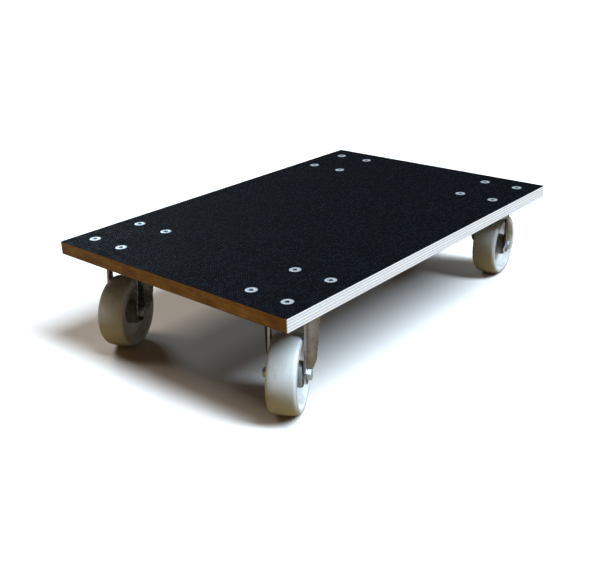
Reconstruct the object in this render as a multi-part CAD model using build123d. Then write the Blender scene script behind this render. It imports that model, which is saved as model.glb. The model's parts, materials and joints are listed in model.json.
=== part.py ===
from build123d import *
from math import cos, pi
import os

# Furniture dolly: a film-faced plywood deck on four swivel casters with solid
# polyamide wheels. Millimetres. The origin is on the floor under the middle of
# the deck. +X runs along the deck to its rear end, +Y to its right-hand side
# (seen by someone who looks towards the front end, -X) and +Z is up.

# ---- Deck -------------------------------------------------------------------
DECK_LENGTH = 625.0
DECK_WIDTH = 416.0
DECK_TOP = 150.0                # height of the load surface above the floor
DECK_THICKNESS = 18.0           # plywood and both films together
DECK_CORNER_RADIUS = 1.5        # the corners are only broken, not rounded
TOP_FILM = 0.6                  # anti-slip phenolic film on the load side
BOTTOM_FILM = 0.4               # smooth phenolic film underneath
DECK_BOTTOM = DECK_TOP - DECK_THICKNESS

# ---- Caster places ----------------------------------------------------------
CASTER_X = 237.3                # swivel axes, from the middle of the deck
CASTER_Y = 149.2
BOLT_SPACING_X = 78.7           # four deck bolts round each swivel axis
BOLT_SPACING_Y = 56.8
# Each caster: sign of x, sign of y, the direction in which it trails (degrees
# from +X towards +Y) and the side of its fork that carries the bolt head.
CASTERS = {
    "front_left": (-1, -1, 210.0, 1),
    "front_right": (-1, 1, 204.0, 1),
    "rear_left": (1, -1, 7.9, -1),
    "rear_right": (1, 1, 16.0, -1),
}

# ---- Threaded fasteners, M8 -------------------------------------------------
THREAD_RADIUS = 4.0
THREAD_PLAY = 0.05              # radial gap of nuts, washers and clamped holes
THREAD_CHAMFER = 0.7            # at the free end of every bolt
BOLT_HOLE_RADIUS = 4.5          # holes in the deck and width of the plate slots
HEX_ACROSS_FLATS = 13.0
HEX_CORNER_RADIUS = HEX_ACROSS_FLATS / 2 / cos(pi / 6)
HEX_CHAMFER = 0.9               # height over which the hexagon's corners run out
DECK_BOLT_LENGTH = 30.0
DECK_BOLT_HEAD_RADIUS = 8.0
DECK_BOLT_HEAD_RIM = 0.4        # short straight rim above the 90 degree cone
DECK_BOLT_SINK = 0.1            # the head lies this far below the load surface
DECK_BOLT_PLAY = 0.1            # gap between the head and its countersink
HEAD_TOP = DECK_TOP - DECK_BOLT_SINK
HEAD_CONE_TOP = HEAD_TOP - DECK_BOLT_HEAD_RIM
HEAD_CONE_BOTTOM = HEAD_CONE_TOP - (DECK_BOLT_HEAD_RADIUS - THREAD_RADIUS)
SOCKET_ACROSS_FLATS = 5.0
SOCKET_DEPTH = 3.0
WASHER_RADIUS = 8.0
WASHER_THICKNESS = 1.6
WASHER_EDGE_RADIUS = 0.3        # on the face that the punch entered
NUT_HEIGHT = 6.5

# ---- Mounting plate, kingpin and swivel bearing -----------------------------
SHEET = 3.0                     # plate and fork are pressed from 3 mm steel
SHEET_EDGE_RADIUS = 0.4         # edges of the pressings, tumbled round before plating
PLATE_LENGTH = 100.0
PLATE_WIDTH = 85.0
PLATE_CORNER_RADIUS = 9.0
PLATE_SLOT_LENGTH = 12.0
PLATE_BOTTOM = DECK_BOTTOM - SHEET
DISH_DEPTH = 3.0                # the race is pressed down from the plate
DISH_RADIUS = 27.5              # flat underside of the dish
DISH_RIM_RADIUS = 31.0
DISH_WALL_SHIFT = 1.2           # upper face of the slanted wall, this far inwards
DISH_OVERLAP = 2.0              # the pressing's model runs on into the plate
BALL_RADIUS = 2.5
BALL_GAP = 3.0                  # distance between the two races of a row
BALL_CLEARANCE = 0.15
UPPER_ROW_RADIUS = 22.5
UPPER_ROW_COUNT = 24
LOWER_ROW_RADIUS = 14.5
LOWER_ROW_COUNT = 16
UPPER_RACE = PLATE_BOTTOM - DISH_DEPTH          # underside of the pressed dish
CROWN_TOP = UPPER_RACE - BALL_GAP
CROWN_UNDERSIDE = CROWN_TOP - SHEET
LOWER_RACE_TOP = CROWN_UNDERSIDE - BALL_GAP
LOWER_RACE_THICKNESS = 2.5
LOWER_RACE_BOTTOM = LOWER_RACE_TOP - LOWER_RACE_THICKNESS
LOWER_RACE_RADIUS = 19.0
LOWER_RACE_RIM = 1.6            # thickness of its turned-up rim
LOWER_RACE_RIM_HEIGHT = 2.2
KINGPIN_RADIUS = 6.0
KINGPIN_HEAD_RADIUS = 11.0
KINGPIN_HEAD_HEIGHT = 4.0
KINGPIN_RIVET_RADIUS = 9.5
KINGPIN_RIVET_HEIGHT = 2.4
KINGPIN_CHAMFER = 1.0
SEAL_OUTER_RADIUS = 27.2
SEAL_INNER_RADIUS = 25.4
SEAL_HEIGHT = 2.65

# ---- Fork -------------------------------------------------------------------
TRAIL = 35.75                   # from the swivel axis to the wheel axle
AXLE_HEIGHT = 50.0
LEG_OUTER = 23.25               # outer face of a leg, from the wheel's middle
LEG_INNER = LEG_OUTER - SHEET
CROWN_RADIUS = 34.5
CROWN_TO_LEG_RADIUS = 8.5       # concave blend from the round crown to the legs
SHOULDER_TOP = 119.0            # crown around the raised race
SHOULDER_FILLET = 3.6
SHOULDER_INNER_FILLET = 1.0
SKIRT_BOTTOM = 111.0            # turned-down rim round the back of the crown
RACE_TOP_RADIUS = 26.5
RACE_FOOT_RADIUS = 29.6
RACE_WALL_SHIFT = 2.0           # inner face of the slanted wall, this far inwards
RACE_OVERLAP = 1.0              # the raised race's model runs on into the shoulder
CROWN_HOLE_RADIUS = 8.0
LEG_END_RADIUS = 12.0           # round lower end of a leg, about the axle
PLAN_REACH = TRAIL + 2 * LEG_END_RADIUS         # front end of the uncut fork
# The leg's edges: distance from the axle along the trail, and height above it.
LEG_FRONT_EDGE = [(3.2, 43.0), (0.0, 70.0)]
LEG_REAR_EDGE = [(-20.5, 9.0), (-25.0, 32.0), (-25.0, 47.0), (-38.0, 61.0)]

# ---- Wheel and axle ---------------------------------------------------------
WHEEL_RADIUS = 50.0
WHEEL_WIDTH = 37.0
WHEEL_EDGE_RADIUS = 48.2        # the tread is slightly crowned
WHEEL_CORNER = 4.6
RIM_INNER_RADIUS = 41.0
RIM_ROOT_RADIUS = 38.0
WEB_WIDTH = 11.0
HUB_RADIUS = 16.0
HUB_ROOT_RADIUS = 17.0
HUB_SHOULDER = 18.2             # half length of the thick part of the hub
HUB_NOSE_RADIUS = 11.5
HUB_END_PLAY = 0.5              # gap between the hub and a leg
# Fillets of the wheel's side, from the tread's corner inwards to the hub's nose.
WHEEL_FILLETS = [WHEEL_CORNER, 1.0, 4.0, 3.0, 1.2, 0.5, 0.6]
TUBE_RADIUS = 6.0
TUBE_PLAY = 0.05                # running clearance of the wheel on its tube
TUBE_BORE_RADIUS = 4.15
AXLE_BOLT_LENGTH = 55.0
AXLE_HEAD_HEIGHT = 5.3
LOCK_NUT_HEIGHT = 8.0
LOCK_NUT_HEX_HEIGHT = 6.4
LOCK_NUT_COLLAR_RADIUS = 5.7
LOCK_NUT_COLLAR_CHAMFER = 0.8

CUT = 400.0                     # a cutter that goes right through everything
CLEAR = 1.0                     # a cutter's reach past the face that it opens
NEAR = 0.01                     # a vertex this close to a place is the one meant


def swivel_place(name):
    """Location of a caster's swivel axis on the floor, not turned."""
    sign_x, sign_y, _, _ = CASTERS[name]
    return Pos(sign_x * CASTER_X, sign_y * CASTER_Y, 0)


def trail_place(name):
    """Location of a caster's swivel axis, turned so that +X is its trail."""
    return swivel_place(name) * Rot(0, 0, CASTERS[name][2])


def axle_place(name):
    """Middle of a wheel, turned so that +Y is the axle, towards the bolt head."""
    head_side = CASTERS[name][3]
    turn = 0 if head_side > 0 else 180
    return trail_place(name) * Pos(TRAIL, 0, AXLE_HEIGHT) * Rot(0, 0, turn)


def bolt_places():
    """Places of the deck bolts in plan, at height zero."""
    pattern = [
        Pos(sx * BOLT_SPACING_X / 2, sy * BOLT_SPACING_Y / 2, 0)
        for sx in (-1, 1)
        for sy in (-1, 1)
    ]
    return [swivel_place(name) * place for name in CASTERS for place in pattern]


def revolved(points):
    """Solid of revolution about Z of a closed half outline of (radius, height)."""
    return revolve(make_face(Plane.XZ * Polyline(*points, close=True)), Axis.Z, 360)


def ring(inner, outer, low, high):
    """Plain ring about the Z axis between two heights."""
    return revolved([(inner, low), (outer, low), (outer, high), (inner, high)])


def ball_groove(row_radius, height):
    """Torus that cuts the groove of a ball row into a race."""
    return Pos(0, 0, height) * Torus(row_radius, BALL_RADIUS + BALL_CLEARANCE)


def chamfered_hexagon(height, chamfer_low, chamfer_high):
    """Hexagonal prism, flats towards +X and -X, with its end corners turned off."""
    prism = Rot(0, 0, 30) * extrude(RegularPolygon(HEX_CORNER_RADIUS, 6), height)
    flat = HEX_ACROSS_FLATS / 2
    reach = HEX_CORNER_RADIUS + CLEAR
    rise = HEX_CHAMFER * (reach - flat) / (HEX_CORNER_RADIUS - flat)
    low = rise if chamfer_low else 0
    high = rise if chamfer_high else 0
    turned = revolved([
        (0, 0), (flat, 0), (reach, low),
        (reach, height - high), (flat, height), (0, height),
    ])
    return prism & turned


def threaded_shank(length):
    """Plain cylinder for a threaded shank, from z = 0 up to its chamfered tip."""
    return revolved([
        (0, 0), (THREAD_RADIUS, 0), (THREAD_RADIUS, length - THREAD_CHAMFER),
        (THREAD_RADIUS - THREAD_CHAMFER, length), (0, length),
    ])


# ---- Deck pieces ------------------------------------------------------------
def deck_sheet(low, high):
    """One layer of the deck, with the holes and countersinks of the sixteen bolts."""
    outline = RectangleRounded(DECK_LENGTH, DECK_WIDTH, DECK_CORNER_RADIUS)
    sheet = Pos(0, 0, low) * extrude(outline, high - low)
    hole = Cylinder(BOLT_HOLE_RADIUS, CUT)
    cutters = [place * cutter for place in bolt_places() for cutter in (hole, countersink())]
    return sheet - cutters


def countersink():
    """Cutter for the conical seat of a deck bolt's head."""
    radius = DECK_BOLT_HEAD_RADIUS + DECK_BOLT_PLAY
    neck = THREAD_RADIUS + DECK_BOLT_PLAY
    above = DECK_TOP + CLEAR
    return revolved([
        (0, above), (radius, above), (radius, HEAD_CONE_TOP),
        (neck, HEAD_CONE_BOTTOM), (0, HEAD_CONE_BOTTOM),
    ])


def deck_bolt():
    """Countersunk socket bolt at its real height."""
    shank = Pos(0, 0, HEAD_CONE_TOP) * Rot(180, 0, 0) * threaded_shank(
        DECK_BOLT_LENGTH - DECK_BOLT_HEAD_RIM
    )
    head = revolved([
        (0, HEAD_CONE_BOTTOM), (THREAD_RADIUS, HEAD_CONE_BOTTOM),
        (DECK_BOLT_HEAD_RADIUS, HEAD_CONE_TOP), (DECK_BOLT_HEAD_RADIUS, HEAD_TOP), (0, HEAD_TOP),
    ])
    socket = RegularPolygon(SOCKET_ACROSS_FLATS / 2, 6, major_radius=False)
    return shank + head - Pos(0, 0, HEAD_TOP - SOCKET_DEPTH) * extrude(socket, CUT)


def deck_washer():
    """Punched washer under the plate, its rounded edge downwards."""
    bottom = PLATE_BOTTOM - WASHER_THICKNESS
    washer = ring(THREAD_RADIUS + THREAD_PLAY, WASHER_RADIUS, bottom, PLATE_BOTTOM)
    return fillet(washer.edges().group_by(Axis.Z)[0], WASHER_EDGE_RADIUS)


def deck_nut():
    """Hexagon nut under the washer."""
    bottom = PLATE_BOTTOM - WASHER_THICKNESS - NUT_HEIGHT
    nut = Pos(0, 0, bottom) * chamfered_hexagon(NUT_HEIGHT, True, True)
    return nut - Cylinder(THREAD_RADIUS + THREAD_PLAY, CUT)


# ---- Swivel pieces, about the Z axis at their real height ---------------------
def mount_plate():
    """Pressed mounting plate: four slots, and a dish that carries the upper race."""
    outline = RectangleRounded(PLATE_LENGTH, PLATE_WIDTH, PLATE_CORNER_RADIUS)
    slab = Pos(0, 0, PLATE_BOTTOM) * extrude(outline, SHEET)
    rims = slab.edges().group_by(Axis.Z)
    slab = fillet(rims[0] + rims[-1], SHEET_EDGE_RADIUS)
    bore = KINGPIN_RADIUS + THREAD_PLAY
    edge = DISH_RIM_RADIUS + DISH_OVERLAP
    dish = revolved([
        (bore, UPPER_RACE), (DISH_RADIUS, UPPER_RACE), (DISH_RIM_RADIUS, PLATE_BOTTOM),
        (edge, PLATE_BOTTOM), (edge, DECK_BOTTOM), (DISH_RIM_RADIUS - DISH_WALL_SHIFT, DECK_BOTTOM),
        (DISH_RADIUS - DISH_WALL_SHIFT, PLATE_BOTTOM), (bore, PLATE_BOTTOM),
    ])
    plate = slab - Cylinder(edge - CLEAR, CUT) + dish
    slot = extrude(SlotOverall(PLATE_SLOT_LENGTH, 2 * BOLT_HOLE_RADIUS), CUT)
    for sx in (-1, 1):
        for sy in (-1, 1):
            plate -= Pos(sx * BOLT_SPACING_X / 2, sy * BOLT_SPACING_Y / 2, 0) * slot
    return plate - ball_groove(UPPER_ROW_RADIUS, UPPER_RACE - BALL_GAP / 2)


def lower_race():
    """Cup under the fork's crown that carries the lower ball row."""
    inner = KINGPIN_RADIUS + THREAD_PLAY
    cup = ring(inner, LOWER_RACE_RADIUS, LOWER_RACE_BOTTOM, LOWER_RACE_TOP)
    rim_inner = LOWER_RACE_RADIUS - LOWER_RACE_RIM
    rim_top = LOWER_RACE_TOP + LOWER_RACE_RIM_HEIGHT
    rim = ring(rim_inner, LOWER_RACE_RADIUS, LOWER_RACE_BOTTOM, rim_top)
    return cup + rim - ball_groove(LOWER_ROW_RADIUS, LOWER_RACE_TOP + BALL_GAP / 2)


def kingpin():
    """Rivet that holds the plate, the fork and the lower race together."""
    head_bottom = LOWER_RACE_BOTTOM - KINGPIN_HEAD_HEIGHT
    rivet_top = PLATE_BOTTOM + KINGPIN_RIVET_HEIGHT
    edge = KINGPIN_CHAMFER
    return revolved([
        (0, head_bottom), (KINGPIN_HEAD_RADIUS - edge, head_bottom),
        (KINGPIN_HEAD_RADIUS, head_bottom + edge), (KINGPIN_HEAD_RADIUS, LOWER_RACE_BOTTOM),
        (KINGPIN_RADIUS, LOWER_RACE_BOTTOM), (KINGPIN_RADIUS, PLATE_BOTTOM),
        (KINGPIN_RIVET_RADIUS, PLATE_BOTTOM), (KINGPIN_RIVET_RADIUS, rivet_top - edge),
        (KINGPIN_RIVET_RADIUS - edge, rivet_top), (0, rivet_top),
    ])


def dust_seal():
    """Ring under the dish that keeps dirt out of the upper row."""
    return ring(SEAL_INNER_RADIUS, SEAL_OUTER_RADIUS, UPPER_RACE - SEAL_HEIGHT, UPPER_RACE)


def ball_row(count, row_radius, height):
    """A full row of loose balls, as a list of solids."""
    ball = Pos(row_radius, 0, height) * Sphere(BALL_RADIUS)
    return [Rot(0, 0, 360 * index / count) * ball for index in range(count)]


# ---- Fork, with the swivel axis on Z and the trail along +X -------------------
def tangent_point(outside, centre, radius, side):
    """Where a line from a point touches a circle; side +1 or -1 picks which."""
    dx = outside[0] - centre[0]
    dy = outside[1] - centre[1]
    reach = (dx * dx + dy * dy) ** 0.5
    along = radius * radius / reach
    across = side * radius * (reach * reach - radius * radius) ** 0.5 / reach
    ux, uy = dx / reach, dy / reach
    return (centre[0] + along * ux - across * uy, centre[1] + along * uy + across * ux)


def leg_outline():
    """Side view of the fork: round leg end, sloping edges and the crown above."""
    axle = (TRAIL, AXLE_HEIGHT)
    front = [(TRAIL + along, AXLE_HEIGHT + up) for along, up in LEG_FRONT_EDGE]
    rear = [(TRAIL + along, AXLE_HEIGHT + up) for along, up in LEG_REAR_EDGE]
    front_touch = tangent_point(front[0], axle, LEG_END_RADIUS, -1)
    rear_touch = tangent_point(rear[0], axle, LEG_END_RADIUS, 1)
    above = CROWN_TOP + CLEAR
    behind = -CROWN_RADIUS - CLEAR
    points = [
        front_touch, *front, (front[-1][0], above), (behind, above), (behind, SKIRT_BOTTOM),
        *reversed(rear), rear_touch,
    ]
    return make_face(Polyline(*points, close=True)) + Pos(*axle) * Circle(LEG_END_RADIUS)


def fork_plan():
    """Plan of the fork: the round crown running out into two parallel sides."""
    plan = Circle(CROWN_RADIUS) + Pos(PLAN_REACH / 2, 0) * Rectangle(PLAN_REACH, 2 * LEG_OUTER)
    waist = (CROWN_RADIUS**2 - LEG_OUTER**2) ** 0.5
    corners = [vertex for vertex in plan.vertices() if abs(vertex.X - waist) < NEAR]
    return fillet(corners, CROWN_TO_LEG_RADIUS)


def rounded_top(outline, height, radius):
    """Prism from the floor up to a height, with the edges of its top filleted."""
    prism = extrude(outline, height)
    return fillet(prism.faces().sort_by(Axis.Z)[-1].edges(), radius)


def raised_race():
    """The part of the crown that the two rows of balls run on, pressed upwards."""
    under = SHOULDER_TOP - SHEET
    edge = RACE_FOOT_RADIUS + RACE_OVERLAP
    return revolved([
        (CROWN_HOLE_RADIUS, CROWN_UNDERSIDE), (CROWN_HOLE_RADIUS, CROWN_TOP),
        (RACE_TOP_RADIUS, CROWN_TOP), (RACE_FOOT_RADIUS, SHOULDER_TOP),
        (edge, SHOULDER_TOP), (edge, under), (RACE_FOOT_RADIUS - RACE_WALL_SHIFT, under),
        (RACE_TOP_RADIUS - RACE_WALL_SHIFT, CROWN_UNDERSIDE),
    ])


def cut_edges(pressing):
    """Edges on both sides of the cut that gives the fork its side view."""
    ceiling = SHOULDER_TOP - SHEET - NEAR
    parallel = 1 - NEAR
    cut = [
        face for face in pressing.faces().filter_by(GeomType.PLANE)
        if abs(face.normal_at().Y) < NEAR and face.center().Z < ceiling
    ]
    cut += [
        face for face in pressing.faces().filter_by(GeomType.CYLINDER)
        if abs(face.axis_of_rotation.direction.Y) > parallel
    ]
    edges = [edge for face in cut for edge in face.edges()]
    return [
        edge for edge in edges
        if edge.length > 2 * SHEET or abs(edge.tangent_at(0).Y) < parallel
    ]


def fork():
    """Pressed fork: shoulder and legs in one bent sheet, with the raised race."""
    plan = fork_plan()
    under = SHOULDER_TOP - SHEET
    hollow = rounded_top(offset(plan, -SHEET), under, SHOULDER_INNER_FILLET)
    hollow += Pos(PLAN_REACH, 0, under / 2) * Box(4 * SHEET, 2 * LEG_INNER, under)
    shell = rounded_top(plan, SHOULDER_TOP, SHOULDER_FILLET) - hollow
    shell -= Cylinder(RACE_FOOT_RADIUS, CUT)
    blank = shell & extrude(Plane.XZ * leg_outline(), CUT, both=True)
    blank = fillet(cut_edges(blank), SHEET_EDGE_RADIUS) + raised_race()
    blank -= ball_groove(UPPER_ROW_RADIUS, UPPER_RACE - BALL_GAP / 2)
    blank -= ball_groove(LOWER_ROW_RADIUS, LOWER_RACE_TOP + BALL_GAP / 2)
    axle_hole = Rot(90, 0, 0) * Cylinder(THREAD_RADIUS + THREAD_PLAY, CUT)
    return blank - Pos(TRAIL, 0, AXLE_HEIGHT) * axle_hole


# ---- Wheel and axle, about the Y axis ----------------------------------------
def wheel():
    """Solid polyamide wheel: crowned tread, dished sides, web and long hub."""
    half = WHEEL_WIDTH / 2
    web = WEB_WIDTH / 2
    nose = LEG_INNER - HUB_END_PLAY
    bore = TUBE_RADIUS + TUBE_PLAY
    side = [
        (WHEEL_EDGE_RADIUS, half), (RIM_INNER_RADIUS, half), (RIM_ROOT_RADIUS, web),
        (HUB_ROOT_RADIUS, web), (HUB_RADIUS, HUB_SHOULDER), (HUB_NOSE_RADIUS, HUB_SHOULDER),
        (HUB_NOSE_RADIUS, nose), (bore, nose),
    ]
    other = [(radius, -along) for radius, along in reversed(side)]
    tread = ThreePointArc(other[-1], (WHEEL_RADIUS, 0), side[0])
    outline = make_face(Curve() + [tread, Polyline(*side, *other)])
    for sign in (-1, 1):
        for (radius, along), size in zip(side, WHEEL_FILLETS):
            corner = outline.vertices().sort_by_distance((radius, sign * along))[0]
            outline = fillet(corner, size)
    return revolve(outline, Axis.Y, 360)


def axle_tube():
    """Spacer tube that the bolt clamps between the legs; the wheel turns on it."""
    tube = ring(TUBE_BORE_RADIUS, TUBE_RADIUS, -LEG_INNER, LEG_INNER)
    return Rot(-90, 0, 0) * tube


def axle_bolt():
    """Hexagon bolt through both legs, with its head on the +Y side."""
    head = Pos(0, 0, -AXLE_HEAD_HEIGHT) * chamfered_hexagon(AXLE_HEAD_HEIGHT, True, False)
    return Pos(0, LEG_OUTER, 0) * Rot(90, 0, 0) * (threaded_shank(AXLE_BOLT_LENGTH) + head)


def axle_nut():
    """Lock nut with its plain collar, against the leg on the -Y side."""
    neck = LOCK_NUT_COLLAR_RADIUS
    chamfer_foot = LOCK_NUT_HEIGHT - LOCK_NUT_COLLAR_CHAMFER
    collar = revolved([
        (0, 0), (neck, 0), (neck, chamfer_foot),
        (neck - LOCK_NUT_COLLAR_CHAMFER, LOCK_NUT_HEIGHT), (0, LOCK_NUT_HEIGHT),
    ])
    nut = chamfered_hexagon(LOCK_NUT_HEX_HEIGHT, True, True) + collar
    nut -= Cylinder(THREAD_RADIUS + THREAD_PLAY, CUT)
    return Pos(0, -LEG_OUTER, 0) * Rot(90, 0, 0) * nut


# ---- Assembly ---------------------------------------------------------------
def write(name, shape):
    """Write one node; a list becomes a group of separate solids."""
    if isinstance(shape, list):
        shape = Compound(children=[piece.solid() for piece in shape])
    export_step(shape, f"parts/{name}.step")


def write_deck():
    """The deck's three layers and its bolts, washers and nuts."""
    core_top = DECK_TOP - TOP_FILM
    core_bottom = DECK_BOTTOM + BOTTOM_FILM
    write("deck_film_top", deck_sheet(core_top, DECK_TOP))
    write("deck_panel", deck_sheet(core_bottom, core_top))
    write("deck_film_bottom", deck_sheet(DECK_BOTTOM, core_bottom))
    fasteners = {"deck_bolts": deck_bolt(), "deck_washers": deck_washer(), "deck_nuts": deck_nut()}
    for name, piece in fasteners.items():
        write(name, [place * piece for place in bolt_places()])


def write_casters():
    """The four casters, each in the direction in which it trails."""
    upper_row = ball_row(UPPER_ROW_COUNT, UPPER_ROW_RADIUS, UPPER_RACE - BALL_GAP / 2)
    lower_row = ball_row(LOWER_ROW_COUNT, LOWER_ROW_RADIUS, LOWER_RACE_TOP + BALL_GAP / 2)
    fixed = {
        "mount_plate": mount_plate(), "kingpin": kingpin(),
        "lower_race": lower_race(), "dust_seal": dust_seal(),
    }
    turning = {"fork": fork()}
    on_axle = {
        "wheel": wheel(), "axle_tube": axle_tube(),
        "axle_bolt": axle_bolt(), "axle_nut": axle_nut(),
    }
    for name in CASTERS:
        groups = ((swivel_place(name), fixed), (trail_place(name), turning), (axle_place(name), on_axle))
        for place, pieces in groups:
            for piece, shape in pieces.items():
                write(f"{name}_{piece}", place * shape)
        write(f"{name}_upper_balls", [trail_place(name) * ball for ball in upper_row])
        write(f"{name}_lower_balls", [trail_place(name) * ball for ball in lower_row])


os.makedirs("parts", exist_ok=True)
write_deck()
write_casters()
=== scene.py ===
"""Furniture dolly: detailed pieces, materials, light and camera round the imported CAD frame.

Lengths are metres in the CAD frame. The origin is on the floor under the middle of the
deck, +X points to the rear end, +Y to the right-hand side and +Z up.
"""
import json
import math

import bmesh
import bpy
import numpy as np
from mathutils import Matrix, Vector


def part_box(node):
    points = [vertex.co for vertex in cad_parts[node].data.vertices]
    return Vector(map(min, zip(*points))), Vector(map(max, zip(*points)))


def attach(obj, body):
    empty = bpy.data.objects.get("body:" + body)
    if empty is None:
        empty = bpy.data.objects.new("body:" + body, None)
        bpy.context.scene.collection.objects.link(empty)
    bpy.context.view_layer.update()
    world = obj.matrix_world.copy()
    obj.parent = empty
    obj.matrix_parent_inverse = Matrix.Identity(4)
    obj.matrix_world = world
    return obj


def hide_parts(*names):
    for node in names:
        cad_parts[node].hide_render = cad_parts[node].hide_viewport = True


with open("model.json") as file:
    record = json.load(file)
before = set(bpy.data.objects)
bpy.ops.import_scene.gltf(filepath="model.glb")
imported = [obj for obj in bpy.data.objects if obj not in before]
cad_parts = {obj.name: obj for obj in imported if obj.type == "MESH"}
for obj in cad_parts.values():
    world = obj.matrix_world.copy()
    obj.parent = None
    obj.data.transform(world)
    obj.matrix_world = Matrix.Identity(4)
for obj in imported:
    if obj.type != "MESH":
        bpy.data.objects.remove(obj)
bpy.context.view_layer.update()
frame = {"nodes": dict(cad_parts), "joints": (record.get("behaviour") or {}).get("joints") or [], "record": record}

TAU = 2 * math.pi
MM = 0.001
UP = Vector((0, 0, 1))
CASTERS = ("front_left", "front_right", "rear_left", "rear_right")
SEED = 7

# Deck
DECK_LOW, DECK_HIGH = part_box("deck_panel")
FILM_LOW, FILM_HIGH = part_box("deck_film_top")
PLY_COUNT = 9
STUD_PITCH = 4.16 * MM
STUD_SIDE = 1.9 * MM
STUD_HEIGHT = 0.38 * MM
DECK_CORNER_RADIUS = 1.5 * MM
FILM_HOLE_RADIUS = 8.1 * MM

# M8 fasteners
THREAD_RADIUS = 4.0 * MM
THREAD_DEPTH = 0.6 * MM
THREAD_PITCH = 1.25 * MM
HEX_ACROSS_FLATS = 13.0 * MM
HEX_CORNER_LIMIT = 7.38 * MM
BOLT_HEAD_RADIUS = 8.0 * MM
BOLT_HEAD_RIM = 0.4 * MM
SOCKET_ACROSS_FLATS = 5.0 * MM
SOCKET_DEPTH = 3.0 * MM
DECK_BOLT_SIDES = 48
AXLE_FASTENER_SIDES = 72
FASTENER_SMOOTH_ANGLE = 24

# Wheel and axle
WHEEL_RADIUS = 49.97 * MM
TREAD_CROWN_RADIUS = 96.0 * MM
HUB_BORE_RADIUS = 6.05 * MM
AXLE_BOLT_TIP = -31.75 * MM
AXLE_HEAD_HEIGHT = 5.3 * MM
LOCK_NUT_HEIGHT = 8.0 * MM
NYLON_RING_STATIONS = (14, 15, 16)
FORK_LEG_FACE = 23.25 * MM
WHEEL_SIDES = 160
WHEEL_SMOOTH_ANGLE = 40

# Stage, with angles in degrees
FLOOR_REACH = 40.0
LIGHT_DISTANCE = 40
CAMERA_PLACE = (-0.9285, -0.7732, 0.5454)
CAMERA_TURN = (67.918, 1.191, -50.686)
CAMERA_LENS = 50.318
CAMERA_SHIFT = (-0.03017, -0.0231)
ROOM_GLOW = (0.045, 0.026, 0.009, 1)
ROOM_SEEN = (0.90, 0.90, 0.90, 1)


# ---- The frame's places -------------------------------------------------------
def centre(node):
    """Middle of a CAD node's box."""
    low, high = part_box(node)
    return (low + high) / 2


def joint(name):
    """The joint with that name."""
    return next(entry for entry in frame["joints"] if entry["name"] == name)


def swivel_point(caster):
    """Point of a caster's swivel axis on the floor."""
    x, y, _ = joint(f"{caster}_swivel")["pos_m"]
    return Vector((x, y, 0))


def axle_matrix(caster):
    """Frame of a wheel: origin in its middle, Z along the axle to the bolt's head, Y up."""
    spin = joint(f"{caster}_wheel_spin")
    middle = Vector(spin["pos_m"])
    axle = Vector(spin["axis"]).normalized()
    if axle.dot(middle - centre(f"{caster}_axle_nut")) < 0:
        axle = -axle
    turn = Matrix((UP.cross(axle), UP, axle)).transposed()
    return Matrix.Translation(middle) @ turn.to_4x4()


def deck_bolt_points():
    """The deck bolts' axes: four round each swivel, spaced as the CAD node's box says."""
    _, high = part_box("deck_bolts")
    corner = swivel_point("rear_right")
    half_x = high.x - BOLT_HEAD_RADIUS - corner.x
    half_y = high.y - BOLT_HEAD_RADIUS - corner.y
    return [
        swivel_point(caster) + Vector((sign_x * half_x, sign_y * half_y, 0))
        for caster in CASTERS
        for sign_x in (-1, 1)
        for sign_y in (-1, 1)
    ]


# ---- Mesh helpers -------------------------------------------------------------
def link_piece(name, mesh, materials, smooth_angle):
    """Object for a mesh; edges sharper than smooth_angle degrees stay sharp."""
    for material in materials:
        mesh.materials.append(material)
    if smooth_angle:
        mesh.shade_smooth()
        mesh.set_sharp_from_angle(angle=math.radians(smooth_angle))
    piece = bpy.data.objects.new(name, mesh)
    bpy.context.scene.collection.objects.link(piece)
    return piece


def stands_for(piece, node, body):
    """The piece rides on a body in a CAD node's stead."""
    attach(piece, body)
    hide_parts(node)


def turned_mesh(name, stations, segments, closed=False, places=(Matrix(),), second=()):
    """Lathe form about Z, repeated at each place.

    A station is (height, radius), and its radius may be a function of the angle. A closed
    profile has a bore, an open one is capped at its ends. The faces after the stations
    numbered in second take the second material.
    """
    angles = np.arange(segments) * TAU / segments
    rings = []
    for height, radius in stations:
        reach = radius(angles) if callable(radius) else np.full(segments, radius)
        level = np.full(segments, height)
        rings.append(np.column_stack((reach * np.cos(angles), reach * np.sin(angles), level)))
    form = np.concatenate(rings)
    count = len(stations)
    bands = [(k, (k + 1) % count) for k in range(count if closed else count - 1)]
    vertices, faces, slots = [], [], []
    for number, place in enumerate(places):
        start = number * len(form)
        matrix = np.array(place)
        vertices.append(form @ matrix[:3, :3].T + matrix[:3, 3])
        for low, high in bands:
            for k in range(segments):
                after = (k + 1) % segments
                faces.append((
                    start + low * segments + k, start + low * segments + after,
                    start + high * segments + after, start + high * segments + k,
                ))
                slots.append(1 if low in second else 0)
        if not closed:
            last = start + (count - 1) * segments
            faces.append(tuple(start + k for k in reversed(range(segments))))
            faces.append(tuple(last + k for k in range(segments)))
            slots += [0, 0]
    mesh = bpy.data.meshes.new(name)
    mesh.from_pydata(np.concatenate(vertices).tolist(), [], faces)
    mesh.polygons.foreach_set("material_index", slots)
    outward_normals(mesh)
    return mesh


def outward_normals(mesh):
    """Turn every face of a closed mesh outwards."""
    form = bmesh.new()
    form.from_mesh(mesh)
    bmesh.ops.recalc_face_normals(form, faces=form.faces)
    form.to_mesh(mesh)
    form.free()


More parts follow.
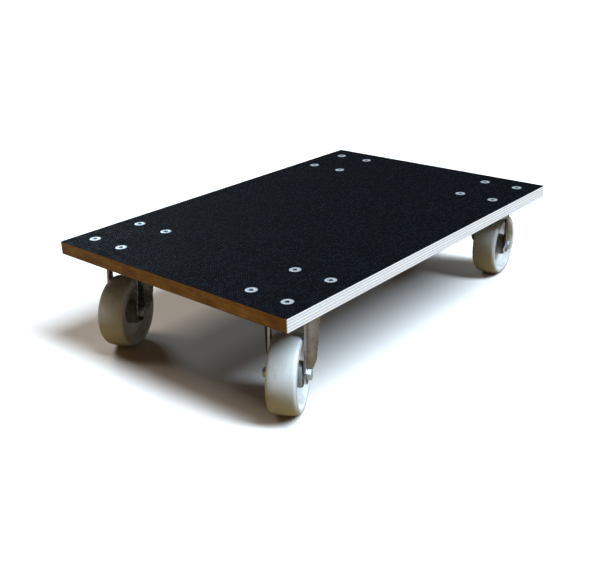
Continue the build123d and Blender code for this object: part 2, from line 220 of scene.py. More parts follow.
def filleted(corners, steps=5):
    """Polyline through (x, y, radius) corners, each rounded by an arc of that radius."""
    line = []
    for index, (x, y, radius) in enumerate(corners):
        point = Vector((x, y))
        if not radius:
            line.append(tuple(point))
            continue
        before = (Vector(corners[index - 1][:2]) - point).normalized()
        after = (Vector(corners[index + 1][:2]) - point).normalized()
        half = before.angle(after) / 2
        middle = point + (before + after).normalized() * radius / math.sin(half)
        start = point + before * radius / math.tan(half) - middle
        sweep = start.angle_signed(point + after * radius / math.tan(half) - middle)
        for step in range(steps + 1):
            turn = Matrix.Rotation(-sweep * step / steps, 2)
            line.append(tuple(middle + turn @ start))
    return line


def hexagon(across_flats, limit=None):
    """Radius of a hexagon with flats towards +X and -X, its corners cut at a limit."""
    def radius(angles):
        reach = across_flats / 2 / np.cos((angles + TAU / 12) % (TAU / 6) - TAU / 12)
        return reach if limit is None else np.minimum(reach, limit)
    return radius


def thread(height):
    """Radius of an M8 thread at one height: a helix of V-shaped grooves."""
    def radius(angles):
        phase = (height / THREAD_PITCH - angles / TAU) % 1
        return THREAD_RADIUS - THREAD_DEPTH * np.abs(2 * phase - 1)
    return radius


def thread_stations(start, end, per_pitch=6):
    """Stations of a threaded stretch, from one height to another."""
    count = math.ceil(abs(end - start) / THREAD_PITCH * per_pitch)
    return [(height, thread(height)) for height in np.linspace(start, end, count + 1)]


# ---- Shader helpers -----------------------------------------------------------
class Finish:
    """One procedural material, built with short calls on its node tree."""

    def __init__(self, name, **sockets):
        self.material = bpy.data.materials.new(name)
        self.material.use_nodes = True
        self.nodes = self.material.node_tree.nodes
        self.links = self.material.node_tree.links
        self.surface = self.nodes["Principled BSDF"]
        self.place = self.nodes.new("ShaderNodeTexCoord").outputs["Object"]
        self.height = None
        for socket, value in sockets.items():
            self.surface.inputs[socket.replace("_", " ")].default_value = value

    def feed(self, socket, value):
        """Link an output to a socket, or set the socket to a constant."""
        if isinstance(value, bpy.types.NodeSocket):
            self.links.new(value, socket)
        elif socket.type == "RGBA":
            socket.default_value = (*value, 1)
        else:
            socket.default_value = value

    def add(self, kind, settings=None, **inputs):
        """New node with its settings and inputs; an input named in1 is socket number 1."""
        node = self.nodes.new("ShaderNode" + kind)
        for name, value in (settings or {}).items():
            setattr(node, name, value)
        for name, value in inputs.items():
            key = int(name[2:]) if name[:2] == "in" and name[2:].isdigit() else name
            self.feed(node.inputs[key], value)
        return node

    def math(self, operation, first, second=0.0):
        """Result of one arithmetic operation."""
        return self.add("Math", {"operation": operation}, in0=first, in1=second).outputs[0]

    def measure_from(self, frame_matrix):
        """Give places in the frame of that matrix instead of the row frame."""
        along = []
        for row in frame_matrix.inverted()[:3]:
            dot = self.add("VectorMath", {"operation": "DOT_PRODUCT"}, in0=self.place, in1=tuple(row[:3]))
            along.append(self.math("ADD", dot.outputs["Value"], row[3]))
        self.place = self.add("CombineXYZ", in0=along[0], in1=along[1], in2=along[2]).outputs[0]

    def axes(self, vector=None):
        """The x, y and z of a vector, by default of the place on the object."""
        split = self.add("SeparateXYZ", in0=self.place if vector is None else vector)
        return split.outputs[0], split.outputs[1], split.outputs[2]

    def scaled(self, x, y, z):
        """The place, stretched by a factor along each axis."""
        node = self.add("VectorMath", {"operation": "MULTIPLY"}, in0=self.place, in1=(x, y, z))
        return node.outputs[0]

    def noise(self, scale, detail=3.0, roughness=0.55, vector=None, distortion=0.0):
        """Noise between 0 and 1, by default over the place on the object."""
        place = self.place if vector is None else vector
        return self.add(
            "TexNoise", Vector=place, Scale=scale, Detail=detail, Roughness=roughness,
            Distortion=distortion,
        ).outputs["Fac"]

    def band(self, value, low, high, to_low=0.0, to_high=1.0):
        """Smooth step of a value from one range to another."""
        return self.add(
            "MapRange", {"interpolation_type": "SMOOTHSTEP"},
            in0=value, in1=low, in2=high, in3=to_low, in4=to_high,
        ).outputs[0]

    def mix(self, factor, first, second, blend="MIX"):
        """Mix of two colours."""
        node = self.nodes.new("ShaderNodeMix")
        node.data_type = "RGBA"
        node.blend_type = blend
        self.feed(node.inputs["Factor"], factor)
        self.feed(node.inputs["A"], first)
        self.feed(node.inputs["B"], second)
        return next(out for out in node.outputs if out.type == "RGBA")

    def ramp(self, value, *stops):
        """Colour ramp through (position, colour) stops."""
        node = self.add("ValToRGB", Fac=value)
        elements = node.color_ramp.elements
        while len(elements) < len(stops):
            elements.new(0.5)
        for element, (position, colour) in zip(elements, stops):
            element.position = position
            element.color = (*colour, 1)
        return node.outputs["Color"]

    def relief(self, value, depth):
        """Add a height of that depth in metres to the surface's bump."""
        raised = self.math("MULTIPLY", value, depth)
        self.height = raised if self.height is None else self.math("ADD", self.height, raised)

    def done(self, colour, roughness, metallic=0.0):
        """Connect the surface and return the material."""
        self.feed(self.surface.inputs["Base Color"], colour)
        self.feed(self.surface.inputs["Roughness"], roughness)
        self.feed(self.surface.inputs["Metallic"], metallic)
        if self.height is not None:
            bump = self.add("Bump", Height=self.height, Distance=1.0, Strength=1.0)
            self.links.new(bump.outputs["Normal"], self.surface.inputs["Normal"])
        return self.material


# ---- Materials ----------------------------------------------------------------
def plywood():
    """Birch plywood: crossed plies, glue lines, long grain and end grain on its edges."""
    wood = Finish("plywood", Specular_IOR_Level=0.35)
    _, _, z = wood.axes()
    ply_height = (DECK_HIGH.z - DECK_LOW.z) / PLY_COUNT
    sway = wood.math("MULTIPLY", wood.noise(14, 2, vector=wood.scaled(1, 1, 4)), 0.14)
    level = wood.math("DIVIDE", wood.math("SUBTRACT", z, DECK_LOW.z + 0.07 * ply_height), ply_height)
    level = wood.math("ADD", level, sway)
    number = wood.math("FLOOR", level)
    from_middle = wood.math("ABSOLUTE", wood.math("SUBTRACT", wood.math("FRACT", level), 0.5))
    glue = wood.band(from_middle, 0.40, 0.47)
    tone = wood.add("TexWhiteNoise", {"noise_dimensions": "1D"}, W=number).outputs["Value"]

    # Long grain alternates with end grain, the other way round on the two short edges.
    normal_x, _, _ = wood.axes(wood.nodes.new("ShaderNodeNewGeometry").outputs["Normal"])
    at_end = wood.band(wood.math("ABSOLUTE", normal_x), 0.55, 0.85)
    odd = wood.math("MODULO", wood.math("ADD", number, PLY_COUNT + 1), 2)
    end_grain = wood.math("ABSOLUTE", wood.math("SUBTRACT", odd, at_end))

    streaks = wood.noise(1.0, 4, 0.6, vector=wood.scaled(30, 30, 900), distortion=0.2)
    pores = wood.noise(1500, 3, 0.65)
    pale = wood.ramp(
        streaks, (0.30, (0.90, 0.82, 0.75)), (0.5, (0.97, 0.90, 0.84)), (0.70, (0.99, 0.94, 0.90)),
    )
    cut = wood.ramp(pores, (0.3, (0.60, 0.54, 0.50)), (0.6, (0.78, 0.71, 0.66)))
    bare = wood.mix(end_grain, pale, cut)
    bare = wood.mix(wood.math("MULTIPLY", tone, 0.20), bare, (0.70, 0.60, 0.52), "MULTIPLY")

    # Painted shade: the two short edges, picked out by the way they face, are painted a darker warm brown, and so
    # are their glue lines.
    patches = wood.noise(34, 4, 0.6, vector=wood.scaled(1, 1, 2.4))
    depth = wood.math("ADD", wood.math("MULTIPLY", patches, 0.7), wood.math("MULTIPLY", streaks, 0.3))
    painted_end_shade = wood.ramp(
        depth, (0.38, (0.22, 0.085, 0.013)), (0.5, (0.42, 0.180, 0.026)), (0.62, (0.60, 0.31, 0.056)),
    )
    painted_end_shade = wood.mix(wood.math("MULTIPLY", tone, 0.40), painted_end_shade, (0.42, 0.18, 0.04))
    open_pores = wood.math("MULTIPLY", end_grain, wood.band(pores, 0.4, 0.7, 0.1, 0.5))
    painted_end_shade = wood.mix(open_pores, painted_end_shade, (0.26, 0.12, 0.04))
    colour = wood.mix(at_end, bare, painted_end_shade)
    line = wood.mix(at_end, (0.22, 0.20, 0.20), (0.16, 0.08, 0.03))
    colour = wood.mix(wood.math("MULTIPLY", glue, 0.75), colour, line)

    grime_and_painted_shade = wood.band(wood.noise(9, 5, 0.7), 0.56, 0.78)
    colour = wood.mix(wood.math("MULTIPLY", grime_and_painted_shade, 0.10), colour, (0.36, 0.30, 0.25))
    rough = wood.band(wood.math("ADD", pores, streaks), 0.7, 1.3, 0.46, 0.66)
    wood.relief(streaks, 0.04 * MM)
    wood.relief(wood.math("MULTIPLY", pores, wood.math("ADD", 0.3, end_grain)), 0.05 * MM)
    wood.relief(glue, -0.10 * MM)
    return wood.done(colour, rough)


def anti_slip_film():
    """Dark phenolic film: studs paler from wear and a painted highlight, grooves painted near black as shade,
    faint scuffs and dust.
    """
    film = Finish("anti_slip_film", Specular_IOR_Level=0.045)
    x, y, z = film.axes()
    stud = film.band(z, FILM_HIGH.z - 0.55 * STUD_HEIGHT, FILM_HIGH.z - 0.05 * STUD_HEIGHT)
    clouds = film.noise(5.5, 5, 0.6)

    # Each stud draws its own share of wear and painted highlight.
    column, row = [film.math("FLOOR", film.math("DIVIDE", along, STUD_PITCH)) for along in (x, y)]
    cell = film.add("CombineXYZ", in0=column, in1=row).outputs[0]
    lot = film.add("TexWhiteNoise", {"noise_dimensions": "2D"}, Vector=cell).outputs["Value"]
    worn = film.math("MULTIPLY", film.noise(150, 3, 0.65), 0.6)
    patches = film.math("ADD", worn, film.math("MULTIPLY", lot, 0.4))
    # Painted shade in the grooves, near black; painted highlight on the stud tops, partly real wear.
    painted_groove_shade = film.mix(film.band(clouds, 0.3, 0.7), (0.0001, 0.0002, 0.0004), (0.0003, 0.0005, 0.0009))
    wear_and_glint = film.mix(film.band(patches, 0.38, 0.68), (0.0008, 0.0013, 0.0023), (0.0068, 0.0098, 0.0152))
    base = film.mix(stud, painted_groove_shade, wear_and_glint)
    drawn = film.noise(1.0, 4, 0.7, vector=film.scaled(9, 150, 60), distortion=0.6)
    scuffs = film.math("MULTIPLY", film.band(drawn, 0.63, 0.74), film.band(film.noise(12, 2), 0.45, 0.65))
    base = film.mix(film.math("MULTIPLY", scuffs, 0.30), base, (0.040, 0.045, 0.053))
    dust = film.band(film.noise(900, 2, 0.6), 0.68, 0.76, 0.0, 0.4)
    base = film.mix(dust, base, (0.045, 0.052, 0.063))
    polish = film.math("MULTIPLY", stud, film.band(patches, 0.40, 0.66, 0.30, 0.48))
    rough = film.math("SUBTRACT", film.band(clouds, 0.3, 0.7, 0.78, 0.88), polish)
    film.relief(film.noise(2600, 3, 0.7), 0.03 * MM)
    film.relief(patches, 0.05 * MM)
    return film.done(base, rough)


def smooth_film():
    """Glossy brown-black film underneath, with the veneer's grain showing through it."""
    film = Finish("smooth_film", Specular_IOR_Level=0.5)
    grain = film.noise(1.0, 5, 0.6, vector=film.scaled(7, 190, 190), distortion=0.5)
    clouds = film.noise(6, 4)
    base = film.mix(film.band(grain, 0.35, 0.7), (0.020, 0.011, 0.007), (0.050, 0.027, 0.016))
    base = film.mix(film.band(clouds, 0.45, 0.75, 0.0, 0.4), base, (0.085, 0.060, 0.043))
    drawn = film.noise(1.0, 3, 0.7, vector=film.scaled(160, 12, 60), distortion=0.8)
    scuffs = film.band(drawn, 0.66, 0.76)
    base = film.mix(film.math("MULTIPLY", scuffs, 0.35), base, (0.16, 0.12, 0.09))
    rough = film.math("ADD", film.band(clouds, 0.3, 0.7, 0.24, 0.40), film.math("MULTIPLY", scuffs, 0.2))
    film.relief(grain, 0.03 * MM)
    film.relief(film.noise(600, 3), 0.01 * MM)
    return film.done(base, rough)


def bright_zinc():
    """Bright passivated zinc of the fasteners: faint blue and straw tints, painted shade in the sockets."""
    zinc = Finish("bright_zinc")
    tint = zinc.noise(75, 3, 0.5)
    fine = zinc.noise(1900, 4, 0.7)
    colour = zinc.ramp(
        tint, (0.36, (0.56, 0.65, 0.74)), (0.5, (0.67, 0.72, 0.77)), (0.64, (0.73, 0.73, 0.70)),
    )
    stains = zinc.band(zinc.noise(260, 5, 0.7), 0.58, 0.74)
    colour = zinc.mix(zinc.math("MULTIPLY", stains, 0.45), colour, (0.30, 0.27, 0.24))

    # Only the deck bolts lie inside the deck: their sockets and the rim round them are painted near black as
    # shade.
    _, _, z = zinc.axes()
    below_top = zinc.band(z, FILM_HIGH.z - 0.28 * MM, FILM_HIGH.z - 0.12 * MM, 1.0, 0.0)
    in_deck = zinc.band(z, DECK_LOW.z, DECK_LOW.z + 1.0 * MM)
    painted_socket_shade = zinc.math("MULTIPLY", below_top, in_deck)
    colour = zinc.mix(zinc.math("MULTIPLY", painted_socket_shade, 0.92), colour, (0.030, 0.034, 0.038))

    rough = zinc.math("ADD", zinc.band(fine, 0.3, 0.7, 0.32, 0.46), zinc.math("MULTIPLY", stains, 0.2))
    metal = zinc.band(stains, 0.0, 1.0, 0.70, 0.6)
    zinc.relief(fine, 0.008 * MM)
    zinc.relief(zinc.noise(420, 2), 0.02 * MM)
    return zinc.done(colour, rough, metal)


def zinc_sheet():
    """Zinc-plated pressed sheet: cloudy crystalline plating, faint rolling marks and smudges."""
    sheet = Finish("zinc_sheet")
    clouds = sheet.noise(55, 5, 0.6)
    crystals = sheet.add("TexVoronoi", Vector=sheet.place, Scale=240.0).outputs["Color"]
    rolled = sheet.noise(1.0, 4, 0.65, vector=sheet.scaled(1500, 1500, 160))
    colour = sheet.ramp(
        clouds, (0.34, (0.37, 0.35, 0.40)), (0.5, (0.48, 0.47, 0.55)), (0.66, (0.56, 0.57, 0.65)),
    )
    colour = sheet.mix(0.07, colour, crystals, "OVERLAY")
    colour = sheet.mix(sheet.band(rolled, 0.4, 0.7, 0.0, 0.06), colour, (0.33, 0.31, 0.35))
    smudge = sheet.band(sheet.noise(28, 5, 0.7), 0.55, 0.75)
    colour = sheet.mix(sheet.math("MULTIPLY", smudge, 0.4), colour, (0.21, 0.19, 0.19))
    rough = sheet.band(rolled, 0.3, 0.7, 0.24, 0.29)
    rough = sheet.math("ADD", rough, sheet.math("MULTIPLY", smudge, 0.14))
    metal = sheet.band(smudge, 0.0, 1.0, 1.0, 0.88)
    sheet.relief(rolled, 0.004 * MM)
    sheet.relief(sheet.noise(130, 3), 0.05 * MM)
    return sheet.done(colour, rough, metal)


def ball_steel():
    """Hardened balls under a thin brown film of grease."""
    steel = Finish("ball_steel", Coat_Weight=0.5, Coat_Roughness=0.12)
    grease_and_painted_shade = steel.band(steel.noise(320, 4, 0.6), 0.42, 0.62)
    colour = steel.mix(steel.math("MULTIPLY", grease_and_painted_shade, 0.7), (0.66, 0.66, 0.68), (0.26, 0.17, 0.08))
    rough = steel.band(grease_and_painted_shade, 0.0, 1.0, 0.10, 0.34)
    steel.relief(grease_and_painted_shade, 0.03 * MM)
    return steel.done(colour, rough, steel.band(grease_and_painted_shade, 0.0, 1.0, 1.0, 0.6))


def black_plastic():
    """Moulded black seal with a fine grain and a little dust."""
    plastic = Finish("black_plastic", Specular_IOR_Level=0.45)
    grain = plastic.noise(2800, 3, 0.6)
    dust = plastic.band(plastic.noise(150, 5, 0.7), 0.5, 0.75)
    colour = plastic.mix(plastic.math("MULTIPLY", dust, 0.4), (0.018, 0.018, 0.019), (0.11, 0.10, 0.09))
    plastic.relief(grain, 0.02 * MM)
    return plastic.done(colour, plastic.band(grain, 0.3, 0.7, 0.42, 0.6))


def white_polyamide(caster):
    """Milky polyamide: turned tread with rolling scuffs, patchy painted shade in the recess corners and round the
    hub, the hub's outside painted dark grey as shade.
    """
    nylon = Finish(
        f"white_polyamide_{caster}", Subsurface_Weight=0.35, Subsurface_Radius=(0.012, 0.009, 0.006),
        Subsurface_Scale=1.0, Specular_IOR_Level=0.4,
    )
    nylon.measure_from(axle_matrix(caster))
    x, y, z = nylon.axes()
    squares = nylon.math("ADD", nylon.math("MULTIPLY", x, x), nylon.math("MULTIPLY", y, y))
    radius = nylon.math("SQRT", squares)
    on_tread = nylon.band(radius, 46.8 * MM, 47.8 * MM)
    inside = nylon.band(radius, 40.0 * MM, 42.0 * MM, 1.0, 0.0)
    milky = nylon.noise(32, 4, 0.55)
    colour = nylon.mix(nylon.band(milky, 0.3, 0.7), (0.66, 0.64, 0.59), (0.73, 0.725, 0.70))

    around = nylon.math("MULTIPLY", nylon.math("ARCTAN2", y, x), 2.2)
    across = nylon.math("MULTIPLY", z, 420)
    rolling = nylon.add("CombineXYZ", in0=around, in1=across).outputs[0]
    streak = nylon.noise(1.6, 5, 0.65, vector=rolling, distortion=0.3)
    blot = nylon.noise(60, 5, 0.7)
    scuff = nylon.math("MULTIPLY", on_tread, nylon.band(nylon.math("ADD", streak, blot), 1.02, 1.34))
    colour = nylon.mix(nylon.math("MULTIPLY", scuff, 0.42), colour, (0.40, 0.36, 0.30))

    # Painted shade, in patches: the recess darkens into its outer corner and round the hub.
    corner = nylon.band(radius, 36.0 * MM, 39.5 * MM)
    near_hub = nylon.band(radius, 16.5 * MM, 20.0 * MM, 1.0, 0.0)
    pocket = nylon.math("MULTIPLY", inside, nylon.math("MAXIMUM", corner, near_hub))
    grime_and_painted_shade = nylon.math("MULTIPLY", pocket, nylon.band(blot, 0.42, 0.68, 0.1, 0.6))
    colour = nylon.mix(grime_and_painted_shade, colour, (0.42, 0.39, 0.33))

    # Painted shade: the hub's outside beyond the web is painted dark grey.
    off_web = nylon.band(nylon.math("ABSOLUTE", z), 6.2 * MM, 8.0 * MM)
    on_hub = nylon.math("MULTIPLY", nylon.band(radius, 17.0 * MM, 18.5 * MM, 1.0, 0.0), off_web)
    grease_and_painted_shade = nylon.mix(nylon.band(blot, 0.35, 0.7), (0.13, 0.135, 0.13), (0.26, 0.265, 0.25))
    colour = nylon.mix(nylon.math("MULTIPLY", on_hub, 0.9), colour, grease_and_painted_shade)

    turned = nylon.add(
        "TexWave", {"wave_profile": "SIN", "bands_direction": "Z"},
        Vector=nylon.place, Scale=260.0, Distortion=0.4, Detail=1.0,
    )
    nylon.relief(nylon.math("MULTIPLY", turned.outputs["Fac"], on_tread), 0.012 * MM)
    nylon.relief(nylon.noise(900, 3, 0.6), 0.01 * MM)
    nylon.relief(nylon.math("MULTIPLY", scuff, blot), -0.05 * MM)
    rough = nylon.math("ADD", nylon.band(milky, 0.3, 0.7, 0.40, 0.50), nylon.math("MULTIPLY", scuff, 0.22))
    return nylon.done(colour, rough)


def insert_nylon():
    """Bluish nylon ring in the lock nuts."""
    ring = Finish("insert_nylon", Specular_IOR_Level=0.45)
    spots = ring.noise(700, 4)
    colour = ring.mix(ring.band(spots, 0.4, 0.7), (0.50, 0.54, 0.56), (0.62, 0.65, 0.66))
    ring.relief(spots, 0.02 * MM)
    return ring.done(colour, ring.band(spots, 0.3, 0.7, 0.4, 0.55))


def pale_floor():
    """Plain pale floor, near white to the eye.

    To bounced light it is dimmer and warmer than it looks, paler out beside the deck, and under the deck it is
    painted near black as shade.
    """
    floor = Finish("pale_floor", Specular_IOR_Level=0.0)
    seen = floor.nodes.new("ShaderNodeLightPath").outputs["Is Camera Ray"]
    x, y, _ = floor.axes()
    # Painted shade: for bounced light the floor is near black under the deck.
    along = floor.math("ABSOLUTE", x)
    across = floor.math("ABSOLUTE", floor.math("SUBTRACT", y, 0.10))
    within_length = floor.band(along, 0.20, 0.30, 1.0, 0.0)
    within_width = floor.band(across, 0.12, 0.18, 1.0, 0.0)
    shade = floor.math("MULTIPLY", within_length, within_width)
    beside = floor.band(floor.math("ABSOLUTE", y), 0.22, 0.50)
    thrown = floor.mix(beside, (0.21, 0.135, 0.052), (0.30, 0.265, 0.22))
    thrown = floor.mix(shade, thrown, (0.020, 0.014, 0.008))
    colour = floor.mix(seen, thrown, (0.91, 0.82, 0.74))
    return floor.done(colour, 0.9)


MATERIALS = {
    "plywood": plywood(),
    "anti_slip_film": anti_slip_film(),
    "smooth_film": smooth_film(),
    "bright_zinc": bright_zinc(),
    "zinc_sheet": zinc_sheet(),
    "ball_steel": ball_steel(),
    "black_plastic": black_plastic(),
}
NYLON_RING = insert_nylon()


def finish_cad_nodes():
    """Give every CAD node that stays the detailed material of its slot in the record."""
    for part in frame["record"]["subparts"]:
        if part["material_slot"] in MATERIALS:
            mesh = frame["nodes"][part["node"]].data
            mesh.materials.clear()
            mesh.materials.append(MATERIALS[part["material_slot"]])


# ---- Deck pieces --------------------------------------------------------------
def studded_sheet():
    """The film as a closed sheet whose face is pressed into square flat-topped studs."""
    size = FILM_HIGH - FILM_LOW
    columns = round(size.x / STUD_PITCH)
    rows = round(size.y / STUD_PITCH)
    xs = np.linspace(FILM_LOW.x, FILM_HIGH.x, columns + 1)
    ys = np.linspace(FILM_LOW.y, FILM_HIGH.y, rows + 1)
    grooves = [(x, y, FILM_HIGH.z - STUD_HEIGHT) for x in xs for y in ys]
    half = STUD_SIDE / 2
    studs = [
        (x + side_x * half, y + side_y * half, FILM_HIGH.z)
        for side_x, side_y in ((-1, -1), (1, -1), (1, 1), (-1, 1))
        for x in (xs[1:] + xs[:-1]) / 2
        for y in (ys[1:] + ys[:-1]) / 2
    ]
    vertices = np.array(grooves + studs)
    step = rows + 1
    first = (np.arange(columns)[:, None] * step + np.arange(rows)).ravel()
    low = (first, first + step, first + step + 1, first + 1)
    high = [len(grooves) + k * columns * rows + np.arange(columns * rows) for k in range(4)]
    slopes = [(low[k], low[(k + 1) % 4], high[(k + 1) % 4], high[k]) for k in range(4)]
    faces = np.concatenate([np.column_stack(quad) for quad in (*slopes, high)])

    # The four corners are drawn in to follow the panel's rounded ones.
    corners = [0, rows, columns * step, columns * step + rows]
    vertices[corners, :2] -= np.sign(vertices[corners, :2]) * DECK_CORNER_RADIUS * (1 - math.sqrt(0.5))
    mesh = bpy.data.meshes.new("anti_slip_top")
    mesh.from_pydata(vertices.tolist(), [], faces.tolist())
    form = bmesh.new()
    form.from_mesh(mesh)
    rim = [edge for edge in form.edges if edge.is_boundary]
    skirt = bmesh.ops.extrude_edge_only(form, edges=rim)["geom"]
    for vertex in skirt:
        if isinstance(vertex, bmesh.types.BMVert):
            vertex.co.z = FILM_LOW.z
    bmesh.ops.contextual_create(form, geom=[edge for edge in form.edges if edge.is_boundary])
    bmesh.ops.recalc_face_normals(form, faces=form.faces)
    form.to_mesh(mesh)
    form.free()
    return mesh


def drilled(sheet):
    """The sheet's mesh with the bolts' holes cut through it."""
    reach = (FILM_LOW.z - 5 * MM, FILM_HIGH.z + 5 * MM)
    stations = [(height, FILM_HOLE_RADIUS) for height in reach]
    places = [Matrix.Translation(point) for point in deck_bolt_points()]
    cutter = link_piece("drills", turned_mesh("drills", stations, 64, places=places), [], None)
    cut = sheet.modifiers.new("holes", "BOOLEAN")
    cut.operation = "DIFFERENCE"
    cut.solver = "MANIFOLD"
    cut.object = cutter
    shown = sheet.evaluated_get(bpy.context.evaluated_depsgraph_get())
    mesh = bpy.data.meshes.new_from_object(shown)
    sheet.modifiers.remove(cut)
    bpy.data.objects.remove(cutter)
    return mesh


def build_film():
    """Top film with its studs and its bolt holes."""
    film = link_piece("anti_slip_top", studded_sheet(), [MATERIALS["anti_slip_film"]], None)
    film.data = drilled(film)
    stands_for(film, "deck_film_top", "deck")


def build_deck_bolts():
    """Sixteen countersunk socket bolts with rolled threads at their lower ends."""
    low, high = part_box("deck_bolts")
    cone_top = high.z - BOLT_HEAD_RIM
    neck = cone_top - (BOLT_HEAD_RADIUS - THREAD_RADIUS)
    shank = THREAD_RADIUS - 0.1 * MM
    threaded_end = low.z + 14 * MM
    mouth = high.z - 0.35 * MM
    floor = high.z - SOCKET_DEPTH
    socket = hexagon(SOCKET_ACROSS_FLATS)
    stations = [(low.z, THREAD_RADIUS - 0.9 * MM), (low.z + 0.35 * MM, THREAD_RADIUS - THREAD_DEPTH)]
    stations += thread_stations(low.z + 0.7 * MM, threaded_end)
    stations += [
        (threaded_end + 0.5 * MM, shank), (neck - 0.8 * MM, shank), (neck, THREAD_RADIUS),
        (cone_top - 0.1 * MM, BOLT_HEAD_RADIUS - 0.1 * MM), (cone_top, BOLT_HEAD_RADIUS),
        (high.z - 0.32 * MM, BOLT_HEAD_RADIUS - 0.05 * MM),
        (high.z - 0.18 * MM, BOLT_HEAD_RADIUS - 0.3 * MM),
        (high.z - 0.08 * MM, BOLT_HEAD_RADIUS - 0.6 * MM), (high.z, BOLT_HEAD_RADIUS - 0.9 * MM),
        (high.z, 3.35 * MM), (high.z - 0.05 * MM, 3.2 * MM),
        (mouth, hexagon(SOCKET_ACROSS_FLATS + 0.1 * MM)), (mouth - 0.2 * MM, socket),
        (floor, socket), (floor - 0.1 * MM, 2.2 * MM), (floor - 0.9 * MM, 0.2 * MM),
    ]
    points = deck_bolt_points()
    turns = np.random.default_rng(SEED).uniform(0, TAU, len(points))
    places = [
        Matrix.Translation(point) @ Matrix.Rotation(turn, 4, "Z")
        for point, turn in zip(points, turns)
    ]
    mesh = turned_mesh("deck_screws", stations, DECK_BOLT_SIDES, places=places)
    bolts = link_piece("deck_screws", mesh, [MATERIALS["bright_zinc"]], FASTENER_SMOOTH_ANGLE)
    stands_for(bolts, "deck_bolts", "deck")


# ---- Wheel and axle pieces, about their axle ------------------------------------
def wheel_profile():
    """Closed profile of the wheel as (height along the axle, radius) stations."""
    crown = [
        (WHEEL_RADIUS - TREAD_CROWN_RADIUS + math.sqrt(TREAD_CROWN_RADIUS**2 - (y * MM) ** 2), y * MM)
        for y in (0, 2.5, 5, 7.5, 10, 12.5)
    ]
    side = [(radius * MM, along * MM, fillet * MM) for radius, along, fillet in (
        (48.2, 18.5, 4.6), (46.2, 18.5, 0), (45.9, 18.2, 0), (45.0, 18.2, 0), (44.7, 18.5, 0),
        (41.0, 18.5, 1.0), (38.0, 5.6, 4.0), (27.6, 5.5, 0), (27.0, 5.9, 0), (26.4, 5.5, 0),
        (17.0, 5.6, 3.0), (16.0, 18.2, 1.2), (11.5, 18.2, 0.4), (11.5, 19.75, 0.5),
        (6.65, 19.75, 0), (6.05, 19.15, 0),
    )]
    rounded = filleted([(*crown[-1], 0), *side])
    half = crown[:-1] + rounded + [(HUB_BORE_RADIUS, along * MM) for along in (12, 4)]
    mirrored = [(radius, -along) for radius, along in reversed(half)]
    return [(along, radius) for radius, along in mirrored[:-1] + half]


def axle_bolt_stations(leg, tip, top):
    """Hexagon bolt: threaded tip, plain shank, washer face and chamfered head."""
    flats = HEX_ACROSS_FLATS
    stations = [(tip, THREAD_RADIUS - 0.9 * MM), (tip + 0.35 * MM, THREAD_RADIUS - THREAD_DEPTH)]
    stations += thread_stations(tip + 0.7 * MM, tip + 16 * MM)
    stations += [(tip + 16.6 * MM, THREAD_RADIUS - 0.02 * MM), (leg, THREAD_RADIUS)]
    stations += [(leg, 5.9 * MM), (leg + 0.35 * MM, 5.9 * MM)]
    stations += [
        (leg + 0.4 * MM, hexagon(flats, 6.9 * MM)), (leg + 0.7 * MM, hexagon(flats, HEX_CORNER_LIMIT)),
        (top - 1.0 * MM, hexagon(flats, HEX_CORNER_LIMIT)), (top - 0.65 * MM, hexagon(flats, 7.15 * MM)),
        (top - 0.35 * MM, hexagon(flats, 6.75 * MM)), (top - 0.12 * MM, 6.3 * MM),
        (top, 5.9 * MM), (top, 4.4 * MM), (top - 0.12 * MM, 4.1 * MM), (top - 0.12 * MM, 0.2 * MM),
    ]
    return stations


def lock_nut_stations(leg, end):
    """Lock nut from the leg outwards; a nylon ring fills the mouth of its collar."""
    flats = HEX_ACROSS_FLATS
    bore = THREAD_RADIUS + 0.05 * MM
    hex_end = leg - 6.4 * MM
    return [
        (leg, 4.6 * MM), (leg, 6.1 * MM), (leg - 0.15 * MM, 6.35 * MM),
        (leg - 0.5 * MM, hexagon(flats, 6.95 * MM)), (leg - 0.9 * MM, hexagon(flats, HEX_CORNER_LIMIT)),
        (hex_end + 1.1 * MM, hexagon(flats, HEX_CORNER_LIMIT)),
        (hex_end + 0.7 * MM, hexagon(flats, 7.1 * MM)), (hex_end + 0.3 * MM, hexagon(flats, 6.7 * MM)),
        (hex_end, 6.1 * MM), (hex_end - 0.05 * MM, 5.75 * MM),
        (hex_end - 0.35 * MM, 5.7 * MM), (end + 0.75 * MM, 5.7 * MM), (end + 0.3 * MM, 5.5 * MM),
        (end, 5.1 * MM), (end, 4.95 * MM), (end + 0.25 * MM, 4.85 * MM), (end + 0.22 * MM, 4.3 * MM),
        (end + 0.5 * MM, bore), (leg - 0.6 * MM, bore),
    ]


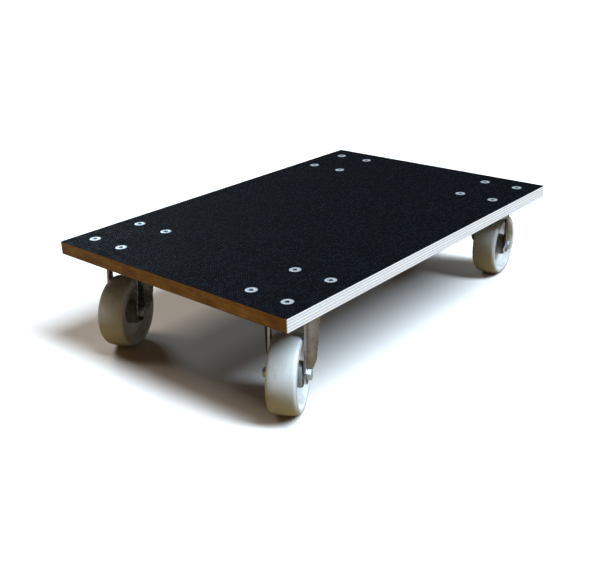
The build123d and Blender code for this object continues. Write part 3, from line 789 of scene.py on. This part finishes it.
def build_wheel_set(caster):
    """Wheel, axle bolt and lock nut of one caster."""
    places = [axle_matrix(caster)]
    leg = FORK_LEG_FACE
    zinc = MATERIALS["bright_zinc"]

    name = f"{caster}_turned_wheel"
    mesh = turned_mesh(name, wheel_profile(), WHEEL_SIDES, closed=True, places=places)
    wheel = link_piece(name, mesh, [white_polyamide(caster)], WHEEL_SMOOTH_ANGLE)
    stands_for(wheel, f"{caster}_wheel", f"{caster}_roller")

    name = f"{caster}_hex_bolt"
    stations = axle_bolt_stations(leg, AXLE_BOLT_TIP, leg + AXLE_HEAD_HEIGHT)
    mesh = turned_mesh(name, stations, AXLE_FASTENER_SIDES, places=places)
    bolt = link_piece(name, mesh, [zinc], FASTENER_SMOOTH_ANGLE)
    stands_for(bolt, f"{caster}_axle_bolt", f"{caster}_yoke")

    name = f"{caster}_lock_nut"
    stations = lock_nut_stations(-leg, -leg - LOCK_NUT_HEIGHT)
    mesh = turned_mesh(
        name, stations, AXLE_FASTENER_SIDES, closed=True, places=places, second=NYLON_RING_STATIONS,
    )
    nut = link_piece(name, mesh, [zinc, NYLON_RING], FASTENER_SMOOTH_ANGLE)
    stands_for(nut, f"{caster}_axle_nut", f"{caster}_yoke")


# ---- Floor, light and camera ----------------------------------------------------
def build_stage():
    """Wide plain floor."""
    mesh = bpy.data.meshes.new("studio_floor")
    corners = [(x * FLOOR_REACH, y * FLOOR_REACH, 0) for x, y in ((-1, -1), (1, -1), (1, 1), (-1, 1))]
    mesh.from_pydata(corners, [], [(0, 1, 2, 3)])
    link_piece("studio_floor", mesh, [pale_floor()], None)


def window(name, azimuth, elevation, width, height, colour, brightness):
    """Rectangular light aimed at the deck; azimuth from +X towards +Y, in degrees.

    The brightness is what a white surface facing it would get in the middle of the deck.
    """
    around, up = math.radians(azimuth), math.radians(elevation)
    towards = Vector((math.cos(around) * math.cos(up), math.sin(around) * math.cos(up), math.sin(up)))
    data = bpy.data.lights.new(name, "AREA")
    data.shape = "RECTANGLE"
    data.size = width
    data.size_y = height
    data.color = colour
    data.energy = brightness * math.pi**2 * LIGHT_DISTANCE**2
    light = bpy.data.objects.new(name, data)
    light.location = towards * LIGHT_DISTANCE + UP * DECK_HIGH.z
    light.rotation_euler = towards.to_track_quat("Z", "Y").to_euler()
    bpy.context.scene.collection.objects.link(light)


def build_light():
    """Four soft lights in a dim warm room.

    A cool tall window stands on the left, with a faint low one under it for the wheels.
    Another lies behind the rear right corner, and a warm fill comes from the right.
    """
    window("left_window", -72, 58, 12, 32, (0.65, 0.82, 1.0), 2.5)
    window("back_window", 66, 25, 12, 10, (0.72, 0.87, 1.0), 0.24)
    window("low_window", -70, 7, 14, 6, (0.92, 0.96, 1.0), 0.035)
    window("right_fill", 92, 52, 20, 16, (1.0, 0.93, 0.84), 0.32)
    world = bpy.data.worlds.new("room")
    bpy.context.scene.world = world
    world.use_nodes = True
    tree = world.node_tree
    background = tree.nodes["Background"]
    seen = tree.nodes.new("ShaderNodeLightPath").outputs["Is Camera Ray"]
    mix = tree.nodes.new("ShaderNodeMix")
    mix.data_type = "RGBA"
    mix.inputs["A"].default_value = ROOM_GLOW
    mix.inputs["B"].default_value = ROOM_SEEN
    tree.links.new(seen, mix.inputs["Factor"])
    tree.links.new(next(out for out in mix.outputs if out.type == "RGBA"), background.inputs["Color"])


def build_camera():
    """Camera at the front left, looking down on the load surface."""
    data = bpy.data.cameras.new("camera")
    data.lens = CAMERA_LENS
    data.sensor_width = 36
    data.shift_x, data.shift_y = CAMERA_SHIFT
    camera = bpy.data.objects.new("camera", data)
    camera.location = CAMERA_PLACE
    camera.rotation_euler = [math.radians(angle) for angle in CAMERA_TURN]
    bpy.context.scene.collection.objects.link(camera)
    bpy.context.scene.camera = camera
    bpy.context.scene.view_settings.view_transform = "Standard"


finish_cad_nodes()
build_film()
build_deck_bolts()
for caster_name in CASTERS:
    build_wheel_set(caster_name)
build_stage()
build_light()
build_camera()
